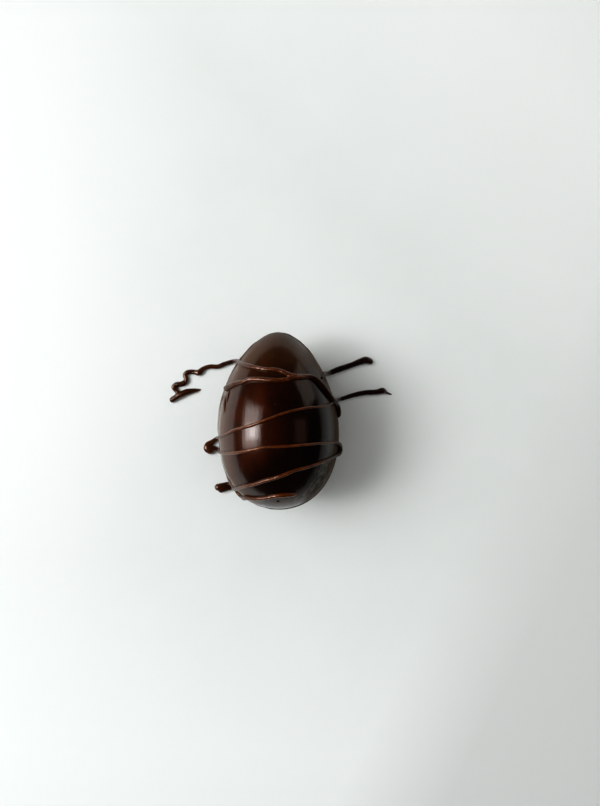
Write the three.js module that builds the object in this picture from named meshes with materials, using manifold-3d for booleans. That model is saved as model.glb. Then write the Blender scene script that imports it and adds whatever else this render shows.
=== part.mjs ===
// A moulded chocolate egg lying on its side, with melted chocolate drizzled across it and set where it ran.
// Millimetres, +Z up. The egg's pointed end is towards +Y, and the origin is the middle of the small flat
// that the egg rests on.
import * as THREE from "three";
import { mergeVertices } from "three/addons/utils/BufferGeometryUtils.js";
import Module from "manifold-3d";

// The egg is turned about an axis along Y. Its two moulded halves meet at a level seam.
const SHELL_LENGTH = 98.6;
const SHELL_RADIUS = 33.1; // at half its length
const TAPER = 0.135; // how much fuller the blunt end is than the pointed end
const SHOULDER = 0.075; // extra fullness that holds on towards the blunt end
const MID_LENGTH_Y = 6.6; // the widest station, which the egg rests on, is this far short of half its length
const FLAT_DEPTH = 0.5; // how much of the underside the resting flat takes off
const EGG_SIDES = 40;
const EGG_RINGS = 28;

// The bead where the two halves are joined.
const SEAM_PROUD = 0.9;
const SEAM_HEIGHT = 1.8;
const SEAM_BEVEL = 0.5;

// The drizzle.
const STRAND_SIDES = 7;
const STRAND_STEP = 2.6; // between the rings of a strand
const STRAND_CAP_RINGS = 2;
const SETTLE_POINTS = 5; // between two stops of a route
const EGG_RISE = 0.2; // height of a strand's middle above the egg, as a share of its width
const TABLE_RISE = 0.28; // and above the table

const TABLE_SIZE = 300;
const TABLE_DEPTH = 20;

const manifold = await Module();
manifold.setup();

// The egg's radius where along runs from -1 at the blunt end to 1 at the pointed end. Grown is added all round.
function radiusAt(along, grown = 0) {
  const round = Math.sqrt(Math.max(0, 1 - along * along));
  return (SHELL_RADIUS + grown) * round * (1 - TAPER * along - SHOULDER * along ** 3);
}

const AXIS_HEIGHT = radiusAt((-2 * MID_LENGTH_Y) / SHELL_LENGTH) - FLAT_DEPTH;

// The egg's outline from the blunt end to the pointed end, as distances from the axis and along it.
function eggOutline(grown = 0) {
  const outline = [];
  for (let ring = 0; ring <= EGG_RINGS; ring++) {
    const along = -Math.cos((Math.PI * ring) / EGG_RINGS);
    const y = MID_LENGTH_Y + (SHELL_LENGTH / 2 + grown) * along;
    const onAxis = ring === 0 || ring === EGG_RINGS;
    outline.push(new THREE.Vector2(onAxis ? 0 : radiusAt(along, grown), y));
  }
  return outline;
}

function eggGeometry() {
  return new THREE.LatheGeometry(eggOutline(), EGG_SIDES).translate(0, 0, AXIS_HEIGHT);
}

// A thin plate of the egg's outline. Only its bevelled rim stands out of the egg.
function seamGeometry() {
  const rim = eggOutline(SEAM_PROUD);
  const otherSide = rim.slice(1, -1).reverse();
  const outline = new THREE.Shape([...rim, ...otherSide.map((point) => new THREE.Vector2(-point.x, point.y))]);
  const plate = new THREE.ExtrudeGeometry(outline, {
    depth: SEAM_HEIGHT - 2 * SEAM_BEVEL,
    bevelThickness: SEAM_BEVEL,
    bevelSize: SEAM_BEVEL,
    bevelOffset: -SEAM_BEVEL,
    bevelSegments: 1,
  });
  return plate.translate(0, 0, AXIS_HEIGHT - SEAM_HEIGHT / 2 + SEAM_BEVEL);
}

// Moves a point straight in or out from the egg's axis, to where the middle of a strand of that width lies.
// A strand that crosses the seam climbs over its bead.
function settleOnEgg(point, width) {
  const bare = radiusAt((2 * (point.y - MID_LENGTH_Y)) / SHELL_LENGTH);
  const fromAxis = new THREE.Vector2(point.x, point.z - AXIS_HEIGHT).setLength(bare);
  const overSeam = SEAM_PROUD * Math.exp(-((fromAxis.y / SEAM_HEIGHT) ** 2));
  fromAxis.setLength(bare + overSeam + EGG_RISE * width);
  point.set(fromAxis.x, point.y, AXIS_HEIGHT + fromAxis.y);
}

function settleOnTable(point, width) {
  point.z = TABLE_RISE * width;
}

// The stops of a strand's route. On the egg, angle is in degrees from the seam on the +X side, over the top,
// to the seam on the -X side at 180, and y is along the egg. Width is the strand's own width there.
function egg(angle, y, width) {
  const turn = THREE.MathUtils.degToRad(angle);
  const point = new THREE.Vector3(Math.cos(turn), y, AXIS_HEIGHT + Math.sin(turn));
  settleOnEgg(point, width);
  return { point, width, settle: settleOnEgg };
}

function table(x, y, width) {
  return { point: new THREE.Vector3(x, y, TABLE_RISE * width), width, settle: settleOnTable };
}

// Part of a strand that hangs clear, as a thread does between the side of the egg and the table.
function hanging(x, y, z, width) {
  return { point: new THREE.Vector3(x, y, z), width, settle: null };
}

// The tail that wriggles away to the left, thrown back to a thin tip.
const leftTip = [
  table(-49.6, 24.8, 0.9),
  table(-53, 24.3, 2.8),
  table(-57.5, 23.4, 4.2),
  table(-61.7, 21.8, 4.4),
  table(-66.6, 18.7, 3.7),
];

// From the end of that tail over the pointed half of the egg, as far as the sharp turn on its right side.
const upperPass = [
  table(-66.8, 18.6, 3.8),
  table(-64.4, 20.6, 3.2),
  table(-63.4, 22.4, 3),
  table(-64.8, 24.6, 3),
  table(-66.1, 26.3, 3.1),
  table(-64.6, 27.8, 3.3),
  table(-60.6, 28.5, 3.5),
  table(-58.3, 30.4, 3.2),
  table(-58.9, 34.4, 3),
  table(-57.2, 35.6, 3.2),
  table(-53, 35.7, 3.1),
  table(-50.5, 35.4, 4),
  table(-47.6, 37.9, 2.8),
  table(-43.5, 39.1, 3),
  table(-38.5, 39.1, 3),
  table(-34.6, 40.7, 3),
  table(-28.8, 42.4, 3),
  hanging(-24.6, 41.4, 16, 2.2),
  egg(180, 40.2, 2.2),
  egg(151, 38.1, 2.3),
  egg(125, 36, 2.6),
  egg(104, 34.2, 2.3),
  egg(88, 33.6, 2.4),
  egg(79, 31.9, 2.6),
  egg(70, 30.7, 2.4),
  egg(52, 30.7, 2.3),
  egg(45, 29.7, 2.2),
  egg(40, 28.1, 2),
];

// From the sharp turn off the egg's right side to a rounded end on the table.
const upperRightTail = [
  egg(27, 30.2, 1.4),
  egg(16, 31.8, 2),
  egg(4, 33.2, 2.3),
  hanging(27.8, 33.7, 18, 2.6),
  table(30.8, 35.2, 3.1),
  table(35.2, 37, 3.8),
  table(44.5, 40.2, 3.4),
  table(50.2, 42.4, 4.4),
  table(53.2, 43, 4.6),
  table(55.5, 42.3, 4.1),
];

// The thickest strand: from a bead on the left side, along the first pass, then down the right side.
const secondPass = [
  egg(160, 24.5, 3.5),
  egg(147, 26.2, 2.9),
  egg(135, 27.4, 2.5),
  egg(127, 27.7, 2.4),
  egg(121, 28.8, 2.9),
  egg(108, 28.8, 3),
  egg(90, 28.3, 2.5),
  egg(80, 28.6, 2.6),
  egg(73, 29.7, 2.8),
  egg(62, 30.1, 2.6),
  egg(51, 30.6, 2.7),
  egg(43, 29.1, 3),
  egg(36.8, 26.1, 3.3),
  egg(29, 22, 3.2),
  egg(19.5, 18.2, 3.1),
  egg(2, 15, 3.1),
  egg(0, 12, 3.1),
  egg(-2, 9.6, 2.8),
  egg(-4, 8.6, 1.7),
];

// From a thin tip on the right, up over the middle of the egg and down into a bead on the left.
const middlePass = [
  table(68.8, 21.9, 1),
  table(66, 22.9, 1.5),
  table(63.6, 24, 4.2),
  table(60, 23.4, 3.4),
  table(52, 22.8, 3.3),
  table(45, 21.3, 2.9),
  table(37.4, 18.9, 2.5),
  hanging(33.8, 18, 18, 2.2),
  egg(0, 17.4, 2),
  egg(18, 16.9, 1.8),
  egg(29, 15.8, 1.7),
  egg(39, 14.8, 1.6),
  egg(52, 14.4, 1.4),
  egg(63, 13.9, 1.5),
  egg(82, 11.5, 1.6),
  egg(100, 7.7, 1.6),
  egg(113, 5, 1.8),
  egg(129, 2.7, 1.8),
  egg(144, -0.1, 1.6),
  egg(165, -2.3, 1.6),
  egg(180, -3, 1.7),
  hanging(-35.6, -3.7, 17, 1.8),
  table(-39.2, -5.4, 2.5),
  table(-42, -7.5, 3.4),
  table(-44.8, -9.7, 4.7),
  table(-45, -11.5, 5.3),
  table(-43.4, -12.7, 5.2),
];

// From that bead back over the egg, round at its right side, and back again to a blob at the lower left.
const returnPass = [
  table(-43.6, -12.6, 4.6),
  table(-40.6, -11.7, 3.2),
  table(-38.4, -12.3, 2.4),
  hanging(-35.4, -12.2, 17, 1.9),
  egg(180, -11.3, 1.7),
  egg(165, -11, 1.4),
  egg(149, -10.5, 1.6),
  egg(130, -9.5, 2),
  egg(113, -7.6, 1.8),
  egg(100, -6, 1.7),
  egg(86, -5.6, 1.8),
  egg(69, -5.1, 1.6),
  egg(48, -4.6, 1.5),
  egg(32, -4.7, 1.6),
  egg(14, -5.5, 1.9),
  hanging(34.8, -7.6, 33, 2.5),
  hanging(34.9, -10.2, 31, 3.2),
  hanging(34.4, -12, 33, 2.5),
  egg(12, -12.6, 1.8),
  egg(24, -13, 1.7),
  egg(39, -14.2, 1.7),
  egg(57, -16.5, 1.8),
  egg(72, -18.2, 1.8),
  egg(86, -21.1, 2.3),
  egg(101, -23.5, 2.1),
  egg(113, -25.6, 2.1),
  egg(128, -27.4, 2.1),
  egg(143, -29.2, 2.1),
  egg(162, -30.8, 2.4),
  egg(180, -31.5, 2.4),
  hanging(-27.6, -32.4, 16, 2.2),
  table(-30.8, -33.6, 3.9),
  table(-34.4, -34.6, 4.2),
  table(-38.6, -35.6, 4.3),
];

// From that blob up to the blunt end, along the side of the egg and to its own blunt stop on top.
const lastPass = [
  table(-36.6, -37, 4.2),
  table(-33.2, -36.2, 3.8),
  table(-29.8, -35.6, 3.2),
  hanging(-25.8, -34.4, 17, 2.2),
  egg(182, -33.6, 2.4),
  egg(176, -35.6, 2.7),
  egg(160, -36, 2.9),
  egg(143, -34.9, 2.7),
  egg(123, -34.5, 2.4),
  egg(106, -33.7, 2.2),
  egg(93, -32.3, 2.3),
  egg(83, -31.8, 2.8),
  egg(73, -31.6, 2.5),
  egg(67, -31.5, 1.9),
];

// The line that a strand's middle follows: a smooth curve through its stops, let down onto the egg and the
// table wherever both neighbouring stops lie there. Widths holds the strand's width at each of its points.
function settledLine(stops) {
  const route = new THREE.CatmullRomCurve3(stops.map((stop) => stop.point));
  const spans = stops.length - 1;
  const points = [];
  const widths = [];
  for (let i = 0; i <= spans * SETTLE_POINTS; i++) {
    const span = Math.min(Math.floor(i / SETTLE_POINTS), spans - 1);
    const [from, to] = [stops[span], stops[span + 1]];
    const point = route.getPoint(i / (spans * SETTLE_POINTS));
    const width = THREE.MathUtils.lerp(from.width, to.width, i / SETTLE_POINTS - span);
    if (from.settle === to.settle) from.settle?.(point, width);
    points.push(point);
    widths.push(width);
  }
  return { line: new THREE.CatmullRomCurve3(points), widths };
}

function widthAt(widths, share) {
  const place = share * (widths.length - 1);
  const before = Math.min(Math.floor(place), widths.length - 2);
  return THREE.MathUtils.lerp(widths[before], widths[before + 1], place - before);
}

// A capsule bent along the strand's line and swollen to its width at each ring, with its round ends kept.
function strandGeometry(stops) {
  const { line, widths } = settledLine(stops);
  const steps = Math.ceil(line.getLength() / STRAND_STEP);
  const frames = line.computeFrenetFrames(steps);
  const capsule = new THREE.CapsuleGeometry(1, steps, STRAND_CAP_RINGS, STRAND_SIDES, steps);
  const position = capsule.getAttribute("position");
  const vertex = new THREE.Vector3();
  for (let i = 0; i < position.count; i++) {
    vertex.fromBufferAttribute(position, i);
    const station = vertex.y + steps / 2;
    const ring = Math.round(THREE.MathUtils.clamp(station, 0, steps));
    const share = ring / steps;
    const radius = widthAt(widths, line.getUtoTmapping(share)) / 2;
    const place = line.getPointAt(share);
    place.addScaledVector(frames.tangents[ring], (station - ring) * radius);
    place.addScaledVector(frames.binormals[ring], vertex.x * radius);
    place.addScaledVector(frames.normals[ring], vertex.z * radius);
    position.setXYZ(i, place.x, place.y, place.z);
  }
  return capsule;
}

function solidOf(geometry) {
  const bare = geometry.clone();
  bare.deleteAttribute("normal");
  bare.deleteAttribute("uv");
  const merged = mergeVertices(bare);
  const mesh = new manifold.Mesh({
    numProp: 3,
    vertProperties: new Float32Array(merged.getAttribute("position").array),
    triVerts: new Uint32Array(merged.index.array),
  });
  return new manifold.Manifold(mesh);
}

function geometryOf(solid) {
  const { vertProperties, triVerts } = solid.getMesh();
  const geometry = new THREE.BufferGeometry();
  geometry.setAttribute("position", new THREE.BufferAttribute(vertProperties, 3));
  geometry.setIndex(new THREE.BufferAttribute(triVerts, 1));
  geometry.computeVertexNormals();
  return geometry;
}

// The egg, its seam and every strand, set into one piece and flat where it meets the table.
function chocolateEgg() {
  const strands = [leftTip, upperPass, upperRightTail, secondPass, middlePass, returnPass, lastPass];
  let solid = solidOf(eggGeometry()).add(solidOf(seamGeometry()));
  for (const stops of strands) solid = solid.add(solidOf(strandGeometry(stops)));
  const underTable = new THREE.BoxGeometry(TABLE_SIZE, TABLE_SIZE, TABLE_DEPTH).translate(0, 0, -TABLE_DEPTH / 2);
  const mesh = new THREE.Mesh(
    geometryOf(solid.subtract(solidOf(underTable))),
    new THREE.MeshStandardMaterial({ color: 0x2b150c, roughness: 0.25, metalness: 0 }),
  );
  mesh.name = "chocolate_egg";
  return mesh;
}

const part = new THREE.Group();
part.add(chocolateEgg());

export default part;
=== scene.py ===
import math
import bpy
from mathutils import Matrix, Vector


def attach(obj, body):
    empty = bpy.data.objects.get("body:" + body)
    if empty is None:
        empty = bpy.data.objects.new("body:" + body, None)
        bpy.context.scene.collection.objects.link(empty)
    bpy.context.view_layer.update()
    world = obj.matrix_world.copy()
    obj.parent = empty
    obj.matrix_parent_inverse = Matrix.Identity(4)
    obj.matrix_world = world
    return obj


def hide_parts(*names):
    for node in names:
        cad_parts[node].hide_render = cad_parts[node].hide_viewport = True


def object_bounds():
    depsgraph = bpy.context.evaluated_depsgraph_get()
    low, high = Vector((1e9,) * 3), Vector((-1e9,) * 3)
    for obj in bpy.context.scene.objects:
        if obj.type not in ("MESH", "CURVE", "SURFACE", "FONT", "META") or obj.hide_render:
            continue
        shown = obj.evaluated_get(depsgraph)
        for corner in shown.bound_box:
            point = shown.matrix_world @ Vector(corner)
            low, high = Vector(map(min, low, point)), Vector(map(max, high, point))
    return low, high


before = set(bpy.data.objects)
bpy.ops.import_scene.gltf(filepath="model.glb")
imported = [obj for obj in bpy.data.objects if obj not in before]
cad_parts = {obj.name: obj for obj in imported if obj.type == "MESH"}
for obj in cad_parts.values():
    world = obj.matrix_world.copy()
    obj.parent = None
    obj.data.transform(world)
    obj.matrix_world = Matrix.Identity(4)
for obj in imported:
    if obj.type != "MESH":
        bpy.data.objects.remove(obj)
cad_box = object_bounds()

from types import SimpleNamespace

import bmesh
import bpy
from mathutils import Matrix, Vector, noise

# A dark chocolate egg lying on its side, with melted chocolate drizzled back and forth across it. Shapes are
# worked out in millimetres in the frame of the part. Each piece is turned into metres when it is finished.
# The materials and the studio are in metres, unless a line says otherwise.
MM = 0.001

# The egg, turned about an axis along Y, with its pointed end towards +Y.
SHELL_LENGTH = 98.6
SHELL_RADIUS = 33.1
TAPER = 0.135  # how much the pointed half is narrowed and the blunt half widened
SHOULDER = 0.075  # the same, felt most near the two ends
MID_LENGTH_Y = 6.6
FLAT_DEPTH = 0.5  # how much the flat that it rests on takes off the round
SHELL_SIDES = 320
SHELL_RINGS = 200
CROWDING = 0.4  # how strongly the shell's lines of points crowd towards the seam
SWELLS = ((17, 0.045, 5), (5, 0.012, 6))  # size across, height and seed of the shell's faint unevenness

# The bead of chocolate where the two moulded halves were joined, as the strands cross it.
SEAM_PROUD = 0.9
SEAM_HEIGHT = 1.8

# How far the bead really stands out at places along y: a lip on the left, thickest near the blunt end, and
# all but trimmed away at the upper right.
SEAM_ON_LEFT = [
    (-43, 0.9),
    (-38, 0.8),
    (-30, 1.6),
    (-20, 0.8),
    (-8, 0.3),
    (4, 1),
    (16, 1.45),
    (28, 1.2),
    (38, 1.25),
    (49, 1.05),
    (51.5, 0.5),
    (56, 0.6),
]
SEAM_ON_RIGHT = [
    (-43, 0.9),
    (-30, 0.9),
    (-8, 0.9),
    (4, 0.7),
    (16, 0.3),
    (28, 0.1),
    (38, 0.1),
    (47, 0.6),
    (56, 0.6),
]

# Half its height there: a narrow bead where the halves met badly, a smooth swelling where they run together.
SEAM_SPREAD_LEFT = [(-43, 1.4), (-18, 1.3), (-6, 4.5), (30, 4.5), (40, 1.6)]
SEAM_SPREAD_RIGHT = [(-43, 4), (10, 3.5), (22, 0.8)]
SEAM_REACH = 12  # nothing of the seam shows farther above or below it
LEFT_TO_RIGHT = [(-6, 0), (6, 1)]  # the share of the right side's values at places along x
NARROWNESS = [(1.4, 1), (3, 0)]  # how much a bead of that half height looks like a narrow one
BEAD_EDGE = 2.4  # how squarely the bead falls away
SEAM_SWELL = 0.06  # how unevenly it stands out, as a share, and how much more so where it is narrow
NARROW_SWELL = 0.14
SWELL_LENGTH = 11
NARROW_NICKS = 0.25
NICK_LENGTH = 3.1
SEAM_WANDER = 0.25  # how far it strays up and down
WANDER_LENGTH = 9
NARROW_GRAIN = 0.07
GRAIN_LENGTH = 0.9
CREASE_DEPTH = 0.1
CREASE_WIDTH = 0.3
CREASE_PLACE = 1.6  # in half heights of the bead

# Small marks on top of the egg, each with the reach of the finer net round it.
PIT = Vector((0.7, -35.6, 0))  # an air bubble that burst near the blunt end; z is found on the shell
PIT_RADIUS = 0.95
PIT_DEPTH = 2
PIT_SQUEEZE = 0.8  # makes it wider across than along
PIT_NET = 2.2
SPECK = Vector((0, 16, 0))  # a crumb under the gloss
SPECK_RADIUS = 0.5
SPECK_HEIGHT = 0.3
SPECK_NET = 2
NET_CUTS = 3

# The drizzle. The middle of a strand lies this far above the egg and the table, as a share of its width.
EGG_RISE = 0.2
TABLE_RISE = 0.28
STEPS_A_SPAN = 14
SHORTEST_SPAN = 1e-3
STRAND_SIDES = 10
STRAND_WAVER = 0.07  # as a share of its width, over stretches of about WAVER_LENGTH
WAVER_LENGTH = 4
ROUND_END = (20, 40, 58, 72, 82)  # degrees round the half ball at each end of a strand
VOXEL = 0.245  # how fine the skin round all the strands is
LUMP_SIZE = 2.6
SMALL_LUMP_SIZE = 0.9
SMALL_LUMP_SHARE = 0.4


def radius_at(along):
    """The egg's bare radius where along runs from -1 at the blunt end to 1 at the pointed end."""
    along = max(-1, min(1, along))
    return SHELL_RADIUS * math.sqrt(1 - along * along) * (1 - TAPER * along - SHOULDER * along**3)


AXIS_HEIGHT = radius_at(-2 * MID_LENGTH_Y / SHELL_LENGTH) - FLAT_DEPTH


def along_of(y):
    return 2 * (y - MID_LENGTH_Y) / SHELL_LENGTH


def noise_at(place, size, seed=0.0):
    """Smooth noise from about -1 to 1, with bumps about size across."""
    return noise.noise(Vector(place) / size + Vector((seed, 17 * seed, -5 * seed)))


# ----------------------------------------------------------------------------------- finished pieces


def finish_piece(name, bm, material):
    """Turns a bmesh in millimetres into a smooth piece in metres that stands for the chocolate egg."""
    bmesh.ops.scale(bm, vec=(MM, MM, MM), verts=bm.verts)
    mesh = bpy.data.meshes.new(name)
    bm.to_mesh(mesh)
    bm.free()
    mesh.shade_smooth()
    mesh.materials.append(material)
    piece = bpy.data.objects.new(name, mesh)
    bpy.context.collection.objects.link(piece)
    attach(piece, "root")
    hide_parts("chocolate_egg")
    return piece


def kept_inside(point):
    """Holds a point, in millimetres, inside the box of the part."""
    low, high = cad_box
    return Vector(max(low[axis] / MM, min(high[axis] / MM, point[axis])) for axis in range(3))


# ----------------------------------------------------------------------------------- the egg's shell


def top_of_shell(place):
    """The point of the bare shell straight above or below place."""
    radius = radius_at(along_of(place.y))
    return Vector((place.x, place.y, AXIS_HEIGHT + math.sqrt(radius * radius - place.x * place.x)))


def bump(distance, radius):
    """1 at the middle of a round bump, falling smoothly to 0 at its radius."""
    share = min(1, distance / radius)
    return (1 - share * share) ** 2


def stepped(stops, place):
    """The value at that place between stops given as (place, value), easing from each to the next."""
    for (start, low), (end, high) in zip(stops, stops[1:]):
        if place <= end:
            share = max(0, min(1, (place - start) / (end - start)))
            return low + (high - low) * share * share * (3 - 2 * share)
    return stops[-1][1]


def of_both_sides(on_left, on_right, place):
    """The value at a point between stops along the left side and stops along the right side."""
    right = stepped(LEFT_TO_RIGHT, place.x)
    return stepped(on_left, place.y) * (1 - right) + stepped(on_right, place.y) * right


def seam_proud(place):
    """How far the shell stands out at a point: the seam's uneven bead, with a shallow crease each side."""
    height = place.z - AXIS_HEIGHT
    if abs(height) > SEAM_REACH:
        return 0
    proud = of_both_sides(SEAM_ON_LEFT, SEAM_ON_RIGHT, place)
    half_height = of_both_sides(SEAM_SPREAD_LEFT, SEAM_SPREAD_RIGHT, place)
    narrow = stepped(NARROWNESS, half_height)
    swell = (SEAM_SWELL + NARROW_SWELL * narrow) * noise_at(place, SWELL_LENGTH, 1)
    nicks = NARROW_NICKS * narrow * noise_at(place, NICK_LENGTH, 2)
    proud *= 1 + swell + nicks
    off_seam = abs(height - SEAM_WANDER * noise_at(place, WANDER_LENGTH, 3))
    bead = math.exp(-((off_seam / half_height) ** BEAD_EDGE))
    crease = math.exp(-(((off_seam - CREASE_PLACE * half_height) / CREASE_WIDTH) ** 2))
    grain = NARROW_GRAIN * narrow * bead * noise_at(place, GRAIN_LENGTH, 4)
    return proud * (bead - CREASE_DEPTH * narrow * crease) + grain


def refine_round(bm, centre, radius):
    """Gives the shell a finer net round a small mark."""
    near = [edge for edge in bm.edges if all((vert.co - centre).length < radius for vert in edge.verts)]
    bmesh.ops.subdivide_edges(bm, edges=near, cuts=NET_CUTS, use_grid_fill=True)


def egg_shell(material):
    bm = bmesh.new()
    bmesh.ops.create_uvsphere(bm, u_segments=SHELL_SIDES, v_segments=SHELL_RINGS, radius=1)
    bmesh.ops.rotate(bm, verts=bm.verts, matrix=Matrix.Rotation(-math.pi / 2, 3, "X"))
    for vert in bm.verts:
        along = vert.co.y
        turn = math.atan2(vert.co.z, vert.co.x)
        turn -= CROWDING * math.sin(2 * turn)
        radius = radius_at(along)
        y = MID_LENGTH_Y + SHELL_LENGTH / 2 * along
        vert.co = (radius * math.cos(turn), y, AXIS_HEIGHT + radius * math.sin(turn))
    pit, speck = top_of_shell(PIT), top_of_shell(SPECK)
    refine_round(bm, pit, PIT_NET)
    refine_round(bm, speck, SPECK_NET)
    bmesh.ops.recalc_face_normals(bm, faces=bm.faces)
    bm.normal_update()
    places = [vert.co.copy() for vert in bm.verts]
    for vert, place in zip(bm.verts, places):
        out = seam_proud(place)
        out += sum(height * noise_at(place, size, seed) for size, height, seed in SWELLS)
        squeezed = Vector(((place.x - pit.x) * PIT_SQUEEZE, place.y - pit.y, place.z - pit.z))
        out -= PIT_DEPTH * bump(squeezed.length, PIT_RADIUS)
        out += SPECK_HEIGHT * bump((place - speck).length, SPECK_RADIUS)
        vert.co = kept_inside(vert.co + vert.normal * out)
    return finish_piece("egg_shell", bm, material)


# ----------------------------------------------------------------------------------- routes of strands


def settle_on_egg(point, width):
    """Moves a point straight in or out from the axis to where a strand's middle lies, also over the seam."""
    bare = radius_at(along_of(point.y))
    out = Vector((point.x, 0, point.z - AXIS_HEIGHT)).normalized()
    over_seam = SEAM_PROUD * math.exp(-((bare * out.z / SEAM_HEIGHT) ** 2))
    reach = bare + over_seam + EGG_RISE * width
    return Vector((out.x * reach, point.y, AXIS_HEIGHT + out.z * reach))


def settle_on_table(point, width):
    return Vector((point.x, point.y, TABLE_RISE * width))


def leave_hanging(point, width):
    return point


# The stops of a strand's route. On the egg, angle is in degrees from the seam on the +X side, over the top,
# to the seam on the -X side at 180, and y is along the egg. Width is the strand's own width there.
def egg(angle, y, width):
    turn = math.radians(angle)
    point = Vector((math.cos(turn), y, AXIS_HEIGHT + math.sin(turn)))
    return settle_on_egg(point, width), width, settle_on_egg


def table(x, y, width):
    return Vector((x, y, TABLE_RISE * width)), width, settle_on_table


def hanging(x, y, z, width):
    return Vector((x, y, z)), width, leave_hanging


# The tail that wriggles away to the left, thrown back to a thin tip.
LEFT_TIP = [
    table(-49.6, 24.8, 0.9),
    table(-53, 24.3, 2.8),
    table(-57.5, 23.4, 4.2),
    table(-61.7, 21.8, 4.4),
    table(-66.6, 18.7, 3.7),
]

# From the end of that tail over the pointed half of the egg, as far as the sharp turn on its right side.
UPPER_PASS = [
    table(-66.8, 18.6, 3.8),
    table(-64.4, 20.6, 3.2),
    table(-63.4, 22.4, 3),
    table(-64.8, 24.6, 3),
    table(-66.1, 26.3, 3.1),
    table(-64.6, 27.8, 3.3),
    table(-60.6, 28.5, 3.5),
    table(-58.3, 30.4, 3.2),
    table(-58.9, 34.4, 3),
    table(-57.2, 35.6, 3.2),
    table(-53, 35.7, 3.1),
    table(-50.5, 35.4, 4),
    table(-47.6, 37.9, 2.8),
    table(-43.5, 39.1, 3),
    table(-38.5, 39.1, 3),
    table(-34.6, 40.7, 3),
    table(-28.8, 42.4, 3),
    hanging(-24.6, 41.4, 16, 2.2),
    egg(180, 40.2, 2.2),
    egg(151, 38.1, 2.3),
    egg(125, 36, 2.6),
    egg(104, 34.2, 2.3),
    egg(88, 33.6, 2.4),
    egg(79, 31.9, 2.6),
    egg(70, 30.7, 2.4),
    egg(52, 30.7, 2.3),
    egg(45, 29.7, 2.2),
    egg(40, 28.1, 2),
]

# From the sharp turn off the egg's right side to a rounded end on the table.
UPPER_RIGHT_TAIL = [
    egg(27, 30.2, 1.4),
    egg(16, 31.8, 2),
    egg(4, 33.2, 2.3),
    hanging(27.8, 33.7, 18, 2.6),
    table(30.8, 35.2, 3.1),
    table(35.2, 37, 3.8),
    table(44.5, 40.2, 3.4),
    table(50.2, 42.4, 4.4),
    table(53.2, 43, 4.6),
    table(55.5, 42.3, 4.1),
]

# The thickest strand: from a bead on the left side, along the first pass, then down the right side.
SECOND_PASS = [
    egg(160, 24.5, 3.5),
    egg(147, 26.2, 2.9),
    egg(135, 27.4, 2.5),
    egg(127, 27.7, 2.4),
    egg(121, 28.8, 2.9),
    egg(108, 28.8, 3),
    egg(90, 28.3, 2.5),
    egg(80, 28.6, 2.6),
    egg(73, 29.7, 2.8),
    egg(62, 30.1, 2.6),
    egg(51, 30.6, 2.7),
    egg(43, 29.1, 3),
    egg(36.8, 26.1, 3.3),
    egg(29, 22, 3.2),
    egg(19.5, 18.2, 3.1),
    egg(2, 15, 3.1),
    egg(0, 12, 3.1),
    egg(-2, 9.6, 2.8),
    egg(-4, 8.6, 1.7),
]

# From a thin tip on the right, up over the middle of the egg and down into a bead on the left.
MIDDLE_PASS = [
    table(68.8, 21.9, 1),
    table(66, 22.9, 1.5),
    table(63.6, 24, 4.2),
    table(60, 23.4, 3.4),
    table(52, 22.8, 3.3),
    table(45, 21.3, 2.9),
    table(37.4, 18.9, 2.5),
    hanging(33.8, 18, 18, 2.2),
    egg(0, 17.4, 2),
    egg(18, 16.9, 1.8),
    egg(29, 15.8, 1.7),
    egg(39, 14.8, 1.6),
    egg(52, 14.4, 1.4),
    egg(63, 13.9, 1.5),
    egg(82, 11.5, 1.6),
    egg(100, 7.7, 1.6),
    egg(113, 5, 1.8),
    egg(129, 2.7, 1.8),
    egg(144, -0.1, 1.6),
    egg(165, -2.3, 1.6),
    egg(180, -3, 1.7),
    hanging(-35.6, -3.7, 17, 1.8),
    table(-39.2, -5.4, 2.5),
    table(-42, -7.5, 3.4),
    table(-44.8, -9.7, 4.7),
    table(-45, -11.5, 5.3),
    table(-43.4, -12.7, 5.2),
]

# From that bead back over the egg, round at its right side, and back again to a blob at the lower left.
RETURN_PASS = [
    table(-43.6, -12.6, 4.6),
    table(-40.6, -11.7, 3.2),
    table(-38.4, -12.3, 2.4),
    hanging(-35.4, -12.2, 17, 1.9),
    egg(180, -11.3, 1.7),
    egg(165, -11, 1.4),
    egg(149, -10.5, 1.6),
    egg(130, -9.5, 2),
    egg(113, -7.6, 1.8),
    egg(100, -6, 1.7),
    egg(86, -5.6, 1.8),
    egg(69, -5.1, 1.6),
    egg(48, -4.6, 1.5),
    egg(32, -4.7, 1.6),
    egg(14, -5.5, 1.9),
    hanging(34.8, -7.6, 33, 2.5),
    hanging(34.9, -10.2, 31, 3.2),
    hanging(34.4, -12, 33, 2.5),
    egg(12, -12.6, 1.8),
    egg(24, -13, 1.7),
    egg(39, -14.2, 1.7),
    egg(57, -16.5, 1.8),
    egg(72, -18.2, 1.8),
    egg(86, -21.1, 2.3),
    egg(101, -23.5, 2.1),
    egg(113, -25.6, 2.1),
    egg(128, -27.4, 2.1),
    egg(143, -29.2, 2.1),
    egg(162, -30.8, 2.4),
    egg(180, -31.5, 2.4),
    hanging(-27.6, -32.4, 16, 2.2),
    table(-30.8, -33.6, 3.9),
    table(-34.4, -34.6, 4.2),
    table(-38.6, -35.6, 4.3),
]

# From that blob up to the blunt end, along the side of the egg and to its own blunt stop on top.
LAST_PASS = [
    table(-36.6, -37, 4.2),
    table(-33.2, -36.2, 3.8),
    table(-29.8, -35.6, 3.2),
    hanging(-25.8, -34.4, 17, 2.2),
    egg(182, -33.6, 2.4),
    egg(176, -35.6, 2.7),
    egg(160, -36, 2.9),
    egg(143, -34.9, 2.7),
    egg(123, -34.5, 2.4),
    egg(106, -33.7, 2.2),
    egg(93, -32.3, 2.3),
    egg(83, -31.8, 2.8),
    egg(73, -31.6, 2.5),
    egg(67, -31.5, 1.9),
]

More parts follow.
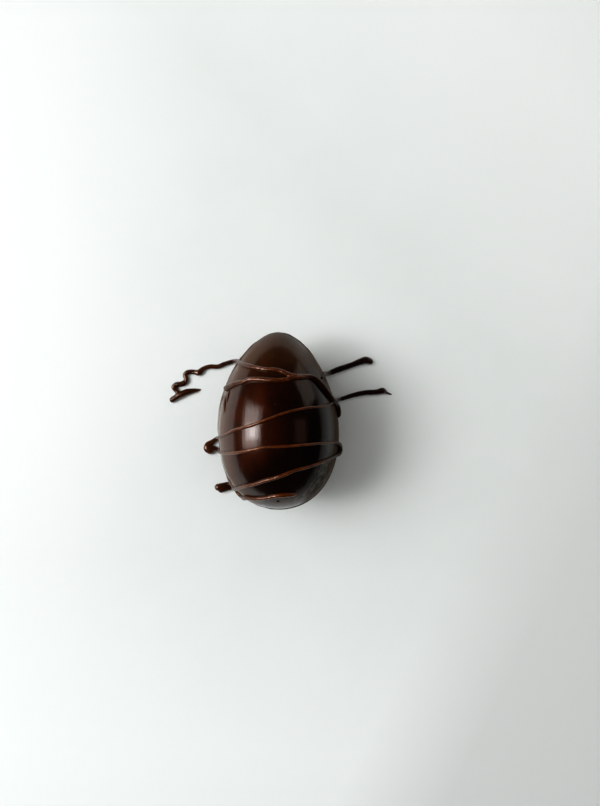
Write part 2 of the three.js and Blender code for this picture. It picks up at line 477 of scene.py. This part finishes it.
# Hairs of chocolate thrown off the drizzle, set on the left flank of the egg.
LEFT_HAIR = [
    egg(150.4, 23.2, 0.5),
    egg(149.9, 21.4, 0.9),
    egg(149.5, 19.8, 1),
    egg(149.5, 18.4, 0.8),
    egg(149.6, 16.8, 0.4),
]
LOWER_HAIR = [
    egg(155, 19.4, 0.4),
    egg(154, 17.6, 0.8),
    egg(152.9, 15.6, 0.9),
    egg(151.5, 13.2, 0.8),
    egg(150.4, 11.4, 0.35),
]


# ----------------------------------------------------------------------------------- strands


def between(before, here, there, after, share):
    """The point at that share of the way from here to there, on a smooth curve through all four."""
    spans = ((before, here), (here, there), (there, after))
    first, middle, last = (max((end - start).length, SHORTEST_SPAN) ** 0.5 for start, end in spans)
    leaving = (here - before) / first - (there - before) / (first + middle) + (there - here) / middle
    arriving = (there - here) / middle - (after - here) / (middle + last) + (after - there) / last
    leaving *= middle
    arriving *= middle
    bend = 3 * (there - here) - 2 * leaving - arriving
    twist = 2 * (here - there) + leaving + arriving
    return here + leaving * share + bend * share**2 + twist * share**3


def settled_line(stops):
    """The points along a strand's middle, each with its half width, let down onto the egg and the table."""
    points = [stop[0] for stop in stops]
    points = [2 * points[0] - points[1], *points, 2 * points[-1] - points[-2]]
    line = []
    for span in range(len(stops) - 1):
        (_, wide, settle), (_, next_wide, next_settle) = stops[span], stops[span + 1]
        for step in range(STEPS_A_SPAN):
            share = step / STEPS_A_SPAN
            point = between(*points[span : span + 4], share)
            width = wide + (next_wide - wide) * share
            if settle is next_settle:
                point = settle(point, width)
            line.append((point, width / 2))
    line.append((stops[-1][0], stops[-1][1] / 2))
    return line


def with_round_ends(line):
    """The same line with a half ball added at each end."""

    def half_ball(end, inner):
        point, radius = end
        outward = (point - inner[0]).normalized() * radius
        turns = [math.radians(angle) for angle in ROUND_END]
        return [(point + outward * math.sin(turn), radius * math.cos(turn)) for turn in turns]

    return half_ball(line[0], line[1])[::-1] + line + half_ball(line[-1], line[-2])


def strand_mesh(bm, stops, seed):
    """Adds one strand to the bmesh as a closed tube whose width wavers a little."""
    curve = bpy.data.curves.new("strand", "CURVE")
    curve.dimensions = "3D"
    curve.bevel_depth = 1
    curve.bevel_resolution = STRAND_SIDES // 2
    curve.use_fill_caps = True
    line = with_round_ends(settled_line(stops))
    spline = curve.splines.new("POLY")
    spline.points.add(len(line) - 1)
    for knot, (point, radius) in zip(spline.points, line):
        knot.co = (*point, 1)
        knot.radius = radius * (1 + STRAND_WAVER * noise_at(point, WAVER_LENGTH, seed))
    strand = bpy.data.objects.new("strand", curve)
    bpy.context.collection.objects.link(strand)
    bpy.context.view_layer.update()
    mesh = bpy.data.meshes.new_from_object(strand.evaluated_get(bpy.context.evaluated_depsgraph_get()))
    bm.from_mesh(mesh)
    bpy.data.objects.remove(strand)
    bpy.data.curves.remove(curve)
    bpy.data.meshes.remove(mesh)


def run_together(bm, voxel):
    """One skin round everything in the bmesh, as melted strands run into each other where they meet."""
    mesh = bpy.data.meshes.new("loose_strands")
    bm.to_mesh(mesh)
    bm.free()
    loose = bpy.data.objects.new("loose_strands", mesh)
    bpy.context.collection.objects.link(loose)
    remesh = loose.modifiers.new("one skin", "REMESH")
    remesh.mode = "VOXEL"
    remesh.voxel_size = voxel
    bpy.context.view_layer.update()
    skin = bpy.data.meshes.new_from_object(loose.evaluated_get(bpy.context.evaluated_depsgraph_get()))
    fused = bmesh.new()
    fused.from_mesh(skin)
    bpy.data.objects.remove(loose)
    bpy.data.meshes.remove(mesh)
    bpy.data.meshes.remove(skin)
    return fused


def drizzle(name, routes, material, voxel=VOXEL, smoothing=4, waver=0.05):
    """One piece of drizzle from the strands on those routes. Its surface wavers by up to about waver."""
    bm = bmesh.new()
    for seed, stops in enumerate(routes):
        strand_mesh(bm, stops, seed)
    bm = run_together(bm, voxel)
    every_way = {"use_axis_x": True, "use_axis_y": True, "use_axis_z": True}
    for _ in range(smoothing):
        bmesh.ops.smooth_vert(bm, verts=bm.verts, factor=0.5, **every_way)
    bm.normal_update()
    for vert in bm.verts:
        lumpy = noise_at(vert.co, LUMP_SIZE, 7) + SMALL_LUMP_SHARE * noise_at(vert.co, SMALL_LUMP_SIZE, 8)
        vert.co = kept_inside(vert.co + vert.normal * waver * lumpy)
    return finish_piece(name, bm, material)


# ----------------------------------------------------------------------------------- materials

NEAR_BLACK = (0.0012, 0.0004, 0.0003)
# The chocolate's red, used also for the painted warm glow on the lit left side.
COCOA_RED_AND_GLOW = (0.03, 0.0048, 0.0006)
MILKY_BROWN = (0.048, 0.02, 0.006)
# Painted warm sheen for the lit left flank.
PAINTED_SHEEN_BROWN = (0.055, 0.021, 0.004)
# Painted dim reflection for the steep right side of the egg.
PAINTED_REFLECTION_BROWN = (0.055, 0.025, 0.006)
BLOOM_BROWN = (0.05, 0.03, 0.02)
SMUDGE_GREY = (0.135, 0.132, 0.105)
SCUFF_PINK = (0.3, 0.25, 0.225)
POOLED_BROWN = (0.013, 0.0038, 0.0017)
THICK_MILK = (0.11, 0.028, 0.005)
THIN_MILK = (0.14, 0.036, 0.005)
DRIZZLE_BLOOM = (0.16, 0.08, 0.05)
HAZE_TINT = (1, 0.7, 0.48)
EGG_GLEAM = (1, 0.3, 0.1)  # tints of the gleam from under the glossy skin
DRIZZLE_GLEAM = (1, 0.42, 0.18)
SMEAR_TURN = -0.67  # radians about Z, so that the smears follow the egg's lower right edge


def add_node(tree, kind, label, **settings):
    node = tree.nodes.new(kind)
    node.label = label
    for name, value in settings.items():
        setattr(node, name, value)
    return node


def feed(tree, socket, value):
    """Sets a socket to a number or a colour, or links it to another node's output."""
    if isinstance(value, (int, float)):
        socket.default_value = value
    elif isinstance(value, tuple):
        socket.default_value = (*value, 1)
    else:
        tree.links.new(value, socket)


def noise_node(tree, place, label, scale, detail=3.0, roughness=0.5):
    """A noise that reads the given place and puts out one value."""
    node = add_node(tree, "ShaderNodeTexNoise", label)
    feed(tree, node.inputs["Scale"], scale)
    feed(tree, node.inputs["Detail"], detail)
    feed(tree, node.inputs["Roughness"], roughness)
    feed(tree, node.inputs["Vector"], place)
    return node.outputs["Fac"]


def spread(tree, value, label, low, high, start=0.0, end=1.0):
    """Maps value from low..high to start..end, held at the ends."""
    node = add_node(tree, "ShaderNodeMapRange", label)
    for name, number in (("From Min", low), ("From Max", high), ("To Min", start), ("To Max", end)):
        node.inputs[name].default_value = number
    tree.links.new(value, node.inputs["Value"])
    return node.outputs["Result"]


def maths(tree, operation, first, second, label=""):
    node = add_node(tree, "ShaderNodeMath", label, operation=operation)
    feed(tree, node.inputs[0], first)
    feed(tree, node.inputs[1], second)
    return node.outputs["Value"]


def product(tree, first, second, label=""):
    return maths(tree, "MULTIPLY", first, second, label)


def largest(tree, first, *others):
    for other in others:
        first = maths(tree, "MAXIMUM", first, other)
    return first


def distance_from(tree, value, middle):
    """How far value is from middle, either way."""
    return maths(tree, "ABSOLUTE", maths(tree, "SUBTRACT", value, middle), 0)


def mixed_colour(tree, share, first, second, label):
    node = add_node(tree, "ShaderNodeMix", label, data_type="RGBA")
    colours = [socket for socket in node.inputs if socket.type == "RGBA"]
    feed(tree, colours[0], first)
    feed(tree, colours[1], second)
    feed(tree, node.inputs["Factor"], share)
    return next(socket for socket in node.outputs if socket.type == "RGBA")


def new_material(name):
    material = bpy.data.materials.new(name)
    material.use_nodes = True
    tree = material.node_tree
    shader = next(node for node in tree.nodes if node.type == "BSDF_PRINCIPLED")
    place = add_node(tree, "ShaderNodeTexCoord", "place on the piece").outputs["Object"]
    return material, tree, shader, place


def axes_of(tree, place):
    """The distances across along X, along the egg along Y, and up along Z."""
    node = add_node(tree, "ShaderNodeSeparateXYZ", "across, along and up")
    tree.links.new(place, node.inputs["Vector"])
    return (node.outputs[axis] for axis in "XYZ")


def set_chocolate_surface():
    """A node group for both chocolates: where fat has bloomed through, and how the surface undulates."""
    group = bpy.data.node_groups.new("set chocolate", "ShaderNodeTree")
    face = group.interface
    face.new_socket("Place", in_out="INPUT", socket_type="NodeSocketVector")
    face.new_socket("Grain", in_out="INPUT", socket_type="NodeSocketFloat").default_value = 400
    face.new_socket("Bloom", in_out="OUTPUT", socket_type="NodeSocketFloat")
    face.new_socket("Height", in_out="OUTPUT", socket_type="NodeSocketFloat")
    inside = add_node(group, "NodeGroupInput", "in")
    outside = add_node(group, "NodeGroupOutput", "out")
    place = inside.outputs["Place"]
    patches = noise_node(group, place, "patches of bloom", 55, 4, 0.55)
    flecks = noise_node(group, place, "flecks", 900, 3, 0.6)
    cloudy = maths(group, "ADD", product(group, patches, 0.75), product(group, flecks, 0.25))
    group.links.new(spread(group, cloudy, "bloom", 0.4, 0.68), outside.inputs["Bloom"])
    height = noise_node(group, place, "grain", inside.outputs["Grain"], 4)
    group.links.new(height, outside.inputs["Height"])
    return group


def surface_node(tree, group, place, grain):
    node = add_node(tree, "ShaderNodeGroup", "set chocolate", node_tree=group)
    node.inputs["Grain"].default_value = grain
    tree.links.new(place, node.inputs["Place"])
    return node.outputs["Bloom"], node.outputs["Height"]


def bump_node(tree, height, distance):
    node = add_node(tree, "ShaderNodeBump", "fine relief")
    node.inputs["Distance"].default_value = distance
    node.inputs["Strength"].default_value = 1
    tree.links.new(height, node.inputs["Height"])
    return node.outputs["Normal"]


def drawn_out(tree, place, stretch, turn=0.0):
    """The place as a pattern needs it to be drawn out along the egg, or along a line turned about Z."""
    node = add_node(tree, "ShaderNodeMapping", "drawn out", vector_type="TEXTURE")
    node.inputs["Rotation"].default_value = (0, 0, turn)
    node.inputs["Scale"].default_value = (1, stretch, 1)
    tree.links.new(place, node.inputs["Vector"])
    return node.outputs["Vector"]


def set_gloss(shader, inner_tint, inner_ior, skin_ior, skin_roughness):
    """A glossy skin over a broader, browner gleam from just under it, with a brown haze seen edge on."""
    shader.inputs["IOR"].default_value = inner_ior
    shader.inputs["Specular Tint"].default_value = (*inner_tint, 1)
    shader.inputs["Coat Roughness"].default_value = skin_roughness
    shader.inputs["Coat IOR"].default_value = skin_ior
    shader.inputs["Sheen Roughness"].default_value = 0.4
    shader.inputs["Sheen Tint"].default_value = (*HAZE_TINT, 1)


def egg_regions(tree, place):
    """Shares from 0 to 1 for how far a point lies in each region of the egg, by its place in metres."""
    across, along, up = axes_of(tree, place)
    above_seam = maths(tree, "SUBTRACT", up, AXIS_HEIGHT * MM, "above the seam")
    on_left = spread(tree, across, "left of the middle", -0.008, -0.014)
    on_right = spread(tree, across, "right of the middle", 0.012, 0.018)
    handled = spread(tree, across, "right side", 0.004, 0.02)
    low = spread(tree, along, "blunt end", -0.008, -0.022)
    blunt = spread(tree, along, "blunt tip", -0.03, -0.038)
    pointed = spread(tree, along, "pointed end", 0.026, 0.046)
    left_flank = product(tree, spread(tree, above_seam, "flank", 0.022, 0.014), on_left)
    inner_flank = product(tree, left_flank, spread(tree, above_seam, "inner flank", 0.008, 0.012))
    right_edge = product(tree, spread(tree, above_seam, "steep", 0.0185, 0.011), on_right)
    upper_right = product(tree, right_edge, spread(tree, along, "upper right", 0.012, 0.026))
    on_seam = spread(tree, distance_from(tree, above_seam, 0), "near the seam", 0.0016, 0.0008)
    is_bead = spread(tree, distance_from(tree, along, 0.012), "where it is a bead", 0.021, 0.03)
    return SimpleNamespace(
        across=across,
        along=along,
        handled=handled,
        low=low,
        handled_low=product(tree, handled, low),
        blunt=blunt,
        blunt_rim=product(tree, spread(tree, above_seam, "blunt rim", 0.0085, 0.005), blunt),
        towards_rim=spread(tree, above_seam, "towards the rim", 0.025, 0.019),
        pointed=pointed,
        pointed_left=product(tree, pointed, maths(tree, "SUBTRACT", 1, handled)),
        tip=product(tree, spread(tree, above_seam, "round the tip", 0.015, 0.006), pointed),
        tip_rim=product(tree, spread(tree, above_seam, "pointed rim", 0.007, 0.002), pointed),
        left_flank=left_flank,
        inner_flank=inner_flank,
        low_flank=product(tree, inner_flank, low),
        left_edge=spread(tree, above_seam, "left edge", 0.007, 0),
        left_bead=product(tree, product(tree, on_seam, is_bead), on_left),
        right_edge=right_edge,
        upper_right=upper_right,
    )


def egg_colour(tree, place, region, bloom, smudges):
    """Redder in patches, with a painted warm glow towards the lit left; milkier at the tip; a painted sheen
    on the lit left flank and a painted dim reflection on the right edge; smudged low on the right and
    scuffed along the seam.
    """
    patches = noise_node(tree, drawn_out(tree, place, 2), "redder patches", 130, 3, 0.55)
    patchy = spread(tree, patches, "patchy", 0.42, 0.56, 0.45, 1)
    # Painted light: a warm red glow towards the lit left side, weaker near the blunt end, laid over the
    # chocolate's own redder patches.
    drawn_back = spread(tree, region.along, "painted glow weaker near the blunt end", -0.004, -0.026, 0, 0.022)
    from_left = maths(tree, "ADD", region.across, drawn_back)
    painted_glow_left = spread(tree, from_left, "painted warm glow on the lit left", 0.009, -0.008, 0.12, 1)
    milky = product(tree, region.pointed, spread(tree, bloom, "uneven milk", 0, 0.6, 0.5, 1))
    worn = noise_node(tree, place, "worn", 380, 3, 0.6)
    scuffed = product(tree, region.left_bead, spread(tree, worn, "rubbed pale", 0.3, 0.6, 0.3, 1))
    colour = mixed_colour(tree, product(tree, patchy, painted_glow_left), NEAR_BLACK, COCOA_RED_AND_GLOW, "cocoa and painted light")
    layers = (
        (milky, 0.95, MILKY_BROWN, "milkier"),
        # Painted sheen: the warm brown haze the left flank shows where it faces the window.
        (region.left_flank, 0.8, PAINTED_SHEEN_BROWN, "painted sheen on the lit flank"),
        (bloom, 0.08, BLOOM_BROWN, "with bloom"),
        # Painted reflection: the dim brown the steep right side shows, in place of the shaded table it
        # reflects.
        (region.right_edge, 0.8, PAINTED_REFLECTION_BROWN, "painted reflection on the right edge"),
        (smudges, 1, SMUDGE_GREY, "smudged"),
        (scuffed, 1, SCUFF_PINK, "scuffed"),
    )
    for mask, share, layer, label in layers:
        colour = mixed_colour(tree, product(tree, mask, share), colour, layer, label)
    return colour


def egg_skin(tree, region, smudges):
    """How strong the egg's glossy skin is: strongest at the upper right, and dulled where it was handled."""
    skin = maths(tree, "ADD", 0.95, product(tree, region.upper_right, 0.28), "glossy skin")
    dulled = (
        (region.right_edge, 0.92),
        (region.left_edge, 0.3),
        (region.inner_flank, 0.36),
        (region.low_flank, 0.28),
        (region.pointed_left, 0.35),
        (region.tip, 0.3),
        (region.tip_rim, 0.25),
        (region.handled_low, 0.42),
        (smudges, 0.2),
        (region.blunt_rim, 0.84),
    )
    for dulling, share in dulled:
        skin = maths(tree, "SUBTRACT", skin, product(tree, dulling, share))
    return largest(tree, skin, 0.03)


def moulded_chocolate(surface):
    """The egg: glossy from its polished mould, with streaks along it and a thin haze of bloom."""
    material, tree, shader, place = new_material("moulded dark chocolate")
    bloom, grain = surface_node(tree, surface, place, 520)
    region = egg_regions(tree, place)
    smears = noise_node(tree, drawn_out(tree, place, 4, SMEAR_TURN), "smears", 800, 4, 0.65)
    smudges = product(tree, spread(tree, smears, "smudges", 0.48, 0.66), region.handled_low)
    smudges = product(tree, smudges, region.towards_rim)
    colour = egg_colour(tree, place, region, bloom, smudges)
    tree.links.new(colour, shader.inputs["Base Color"])

    streaks = noise_node(tree, drawn_out(tree, place, 8), "streaks of the mould", 700, 4, 0.65)
    rough = spread(tree, streaks, "streaky gloss", 0.35, 0.7, 0.42, 0.5)
    tree.links.new(rough, shader.inputs["Roughness"])
    dry = largest(
        tree,
        product(tree, region.handled, 0.42),
        product(tree, region.blunt_rim, 0.5),
        product(tree, region.tip, 0.3),
    )
    gleam = maths(tree, "SUBTRACT", 0.5, dry, "gleam")
    tree.links.new(gleam, shader.inputs["Specular IOR Level"])
    tree.links.new(egg_skin(tree, region, smudges), shader.inputs["Coat Weight"])
    height = maths(tree, "ADD", product(tree, streaks, 0.6), product(tree, grain, 0.4))
    tree.links.new(bump_node(tree, height, 0.00004), shader.inputs["Normal"])
    tree.links.new(bump_node(tree, streaks, 0.00007), shader.inputs["Coat Normal"])
    set_gloss(shader, EGG_GLEAM, inner_ior=1.4, skin_ior=1.52, skin_roughness=0.1)
    clear = largest(tree, region.handled, region.blunt, region.low, region.tip)
    haze = product(tree, maths(tree, "SUBTRACT", 1, clear), 0.16, "haze")
    tree.links.new(haze, shader.inputs["Sheen Weight"])
    return material


def drizzled_chocolate(surface, name, milk, shade_from, deepest_shade_from, duller):
    """The drizzle: the same dark chocolate where it pooled, milkier where it set thin on top of the egg.
    Across the egg a painted shade darkens it between two places along x, and it is duller on the right by
    the last share."""
    material, tree, shader, place = new_material(name)
    bloom, grain = surface_node(tree, surface, place, 900)
    lumps = noise_node(tree, place, "lumps", 420, 3, 0.6)
    across, _, up = axes_of(tree, place)
    higher = spread(tree, up, "thinner higher up", 0.044, 0.061, 0.12, 1)
    outer = spread(tree, across, "milkier out on the left", -0.034, -0.042, 0.12, 0.6)
    farthest = spread(tree, across, "less so farther out", -0.048, -0.056, 0, 0.3)
    thin = largest(tree, higher, maths(tree, "SUBTRACT", outer, farthest))
    # Painted shade: the strands darken and lose gleam towards the right, which lies in shadow, away from the
    # light.
    pale = spread(tree, across, "painted shade towards the right", shade_from, deepest_shade_from, 1, 0.03)
    milky = product(tree, spread(tree, lumps, "milkier", 0.3, 0.7, 0.25, 1), thin)
    colour = mixed_colour(tree, product(tree, milky, pale), POOLED_BROWN, milk, "cocoa and painted light")
    colour = mixed_colour(tree, product(tree, bloom, 0.06), colour, DRIZZLE_BLOOM, "with bloom")
    tree.links.new(colour, shader.inputs["Base Color"])

    rough = spread(tree, bloom, "duller where bloomed", 0, 1, 0.3, 0.42)
    tree.links.new(rough, shader.inputs["Roughness"])
    gleam = spread(tree, pale, "gleam", 0, 1, 0.15, 0.7)
    tree.links.new(gleam, shader.inputs["Specular IOR Level"])
    off_table = spread(tree, up, "above the table", 0.005, 0.01)
    steep = product(tree, off_table, spread(tree, up, "hanging", 0.058, 0.042))
    on_right = product(tree, off_table, spread(tree, across, "right side", 0.012, 0.024))
    skin = maths(tree, "SUBTRACT", 0.9, product(tree, steep, 0.6), "glossy skin")
    skin = maths(tree, "SUBTRACT", skin, product(tree, on_right, duller))
    tree.links.new(largest(tree, skin, 0.06), shader.inputs["Coat Weight"])
    height = maths(tree, "ADD", product(tree, lumps, 0.7), product(tree, grain, 0.3))
    tree.links.new(bump_node(tree, height, 0.0003), shader.inputs["Normal"])
    tree.links.new(bump_node(tree, lumps, 0.0006), shader.inputs["Coat Normal"])
    set_gloss(shader, DRIZZLE_GLEAM, inner_ior=1.5, skin_ior=1.7, skin_roughness=0.06)
    shader.inputs["Sheen Weight"].default_value = 0.02
    return material


def table_top():
    """Pale paint with a faint mottle, and painted light: paler at the left, near edge and far corner, greyer
    at the near right where the light falls off.
    """
    material, tree, shader, place = new_material("pale table")
    across, along, _ = axes_of(tree, place)
    mottle = spread(tree, noise_node(tree, place, "faint mottle", 14, 3), "mottle", 0.3, 0.7)
    colour = mixed_colour(tree, mottle, (0.75, 0.78, 0.77), (0.78, 0.81, 0.8), "paint")
    # Painted light: paler where more light falls, at the left, near edge and far corner, and greyer at the
    # near right where it falls off.
    paler = spread(tree, across, "painted light at the left", -0.05, -0.14)
    near = spread(tree, along, "painted light at the near edge", -0.08, -0.2)
    far = spread(tree, maths(tree, "ADD", across, along), "painted light at the far corner", 0.18, 0.38)
    corner = maths(tree, "SUBTRACT", product(tree, across, 2), along, "towards the near right")
    greyer = spread(tree, corner, "greyer", 0.3, 0.44)
    colour = mixed_colour(tree, paler, colour, (0.8, 0.825, 0.82), "painted light, paler")
    colour = mixed_colour(tree, largest(tree, near, far), colour, (0.865, 0.895, 0.885), "painted light, palest")
    colour = mixed_colour(tree, greyer, colour, (0.71, 0.732, 0.722), "painted falloff, greyer")
    tree.links.new(colour, shader.inputs["Base Color"])
    shader.inputs["Roughness"].default_value = 0.6
    return material


# ----------------------------------------------------------------------------------- studio

CAMERA_PLACE = (12.19, 16.535, 361.9)  # in millimetres
CAMERA_LENS = 26  # in millimetres, on a sensor as tall as the next line says
CAMERA_SENSOR = 36
TABLE_ACROSS = 12
LIT_CENTRE = Vector((0, 7, 33))  # where the lights are aimed, in millimetres
NEST_STEP = 0.01  # how much nearer each smaller light in a nest of them is
WINDOW_PANES = (1, 0.86, 0.72)
SKY_PATCHES = (1, 0.55)


def studio_camera():
    """Looks straight down, with +Y up in the picture."""
    data = bpy.data.cameras.new("camera")
    data.sensor_fit = "VERTICAL"
    data.sensor_height = CAMERA_SENSOR
    data.lens = CAMERA_LENS
    data.clip_start = 0.01
    camera = bpy.data.objects.new("camera", data)
    camera.location = Vector(CAMERA_PLACE) * MM
    bpy.context.collection.objects.link(camera)
    bpy.context.scene.camera = camera


def studio_table():
    bm = bmesh.new()
    bmesh.ops.create_grid(bm, x_segments=1, y_segments=1, size=TABLE_ACROSS / 2)
    mesh = bpy.data.meshes.new("table")
    bm.to_mesh(mesh)
    bm.free()
    mesh.materials.append(table_top())
    floor = bpy.data.objects.new("table", mesh)
    bpy.context.collection.objects.link(floor)


def soft_light(name, azimuth, elevation, distance, size, glow, colour=(1, 1, 1), mirrored=True):
    """A flat rectangle of light, size wide and high, that faces the egg from that azimuth and elevation, in
    degrees. Glow is its brightness."""
    data = bpy.data.lights.new(name, "AREA")
    data.shape = "RECTANGLE"
    data.size, data.size_y = size
    data.energy = glow * size[0] * size[1] * math.pi
    data.color = colour
    light = bpy.data.objects.new(name, data)
    turn, rise = math.radians(azimuth), math.radians(elevation)
    toward = Vector((math.cos(rise) * math.cos(turn), math.cos(rise) * math.sin(turn), math.sin(rise)))
    light.location = LIT_CENTRE * MM + toward * distance
    light.rotation_euler = toward.to_track_quat("Z", "Y").to_euler()
    light.visible_glossy = mirrored
    bpy.context.collection.objects.link(light)


def nest_of_lights(name, azimuth, elevation, distance, size, glow, shares):
    """Ever smaller lights in front of one another, so that together they are dimmer towards the edges."""
    for step, share in enumerate(shares):
        smaller = (size[0] * share, size[1] * share)
        soft_light(name, azimuth, elevation, distance - NEST_STEP * step, smaller, glow)


def studio_lights():
    """A tall window, dimmer towards its edges, with a bright patch of sky in it. More daylight comes from
    that side, the ceiling and the wall across, without an edge, and faint warm light from the room."""
    nest_of_lights("window", 176, 39.5, 1.7, (1.25, 1.15), 1.08, WINDOW_PANES)
    nest_of_lights("sky in the window", 181, 43, 1.66, (0.4, 0.74), 3.4, SKY_PATCHES)
    soft_light("daylight", 158, 44, 1.5, (1.1, 0.9), 1.72, mirrored=False)
    soft_light("ceiling", 120, 74, 1.9, (3, 3), 0.46, mirrored=False)
    soft_light("far wall", -10, 34, 2.2, (3, 1.8), 0.34, colour=(0.93, 1, 0.97), mirrored=False)
    soft_light("room", 0, 46, 2.4, (0.9, 1), 0.35, colour=(1, 0.6, 0.5))
    soft_light("far window", 38, 16, 2.4, (1.4, 1.3), 0.7, colour=(1, 0.9, 0.8))


def dim_room():
    world = bpy.data.worlds.new("dim room")
    world.use_nodes = True
    background = world.node_tree.nodes["Background"]
    background.inputs["Color"].default_value = (1, 0.98, 0.95, 1)
    background.inputs["Strength"].default_value = 0.02
    bpy.context.scene.world = world


studio_camera()
studio_table()
studio_lights()
dim_room()
bpy.context.scene.view_settings.view_transform = "Standard"
bpy.context.scene.view_settings.look = "High Contrast"

surface = set_chocolate_surface()
shell_finish = moulded_chocolate(surface)
thick_finish = drizzled_chocolate(surface, "thick drizzled chocolate", THICK_MILK, 0.01, 0.02, 0.8)
thin_finish = drizzled_chocolate(surface, "thin drizzled chocolate", THIN_MILK, 0.012, 0.036, 0.3)
egg_shell(shell_finish)
drizzle("drizzle_upper", [LEFT_TIP, UPPER_PASS, UPPER_RIGHT_TAIL, SECOND_PASS], thick_finish)
drizzle("drizzle_lower", [MIDDLE_PASS, RETURN_PASS, LAST_PASS], thin_finish)
drizzle("stray_hairs", [LEFT_HAIR, LOWER_HAIR], thin_finish, voxel=0.09, smoothing=2, waver=0.02)
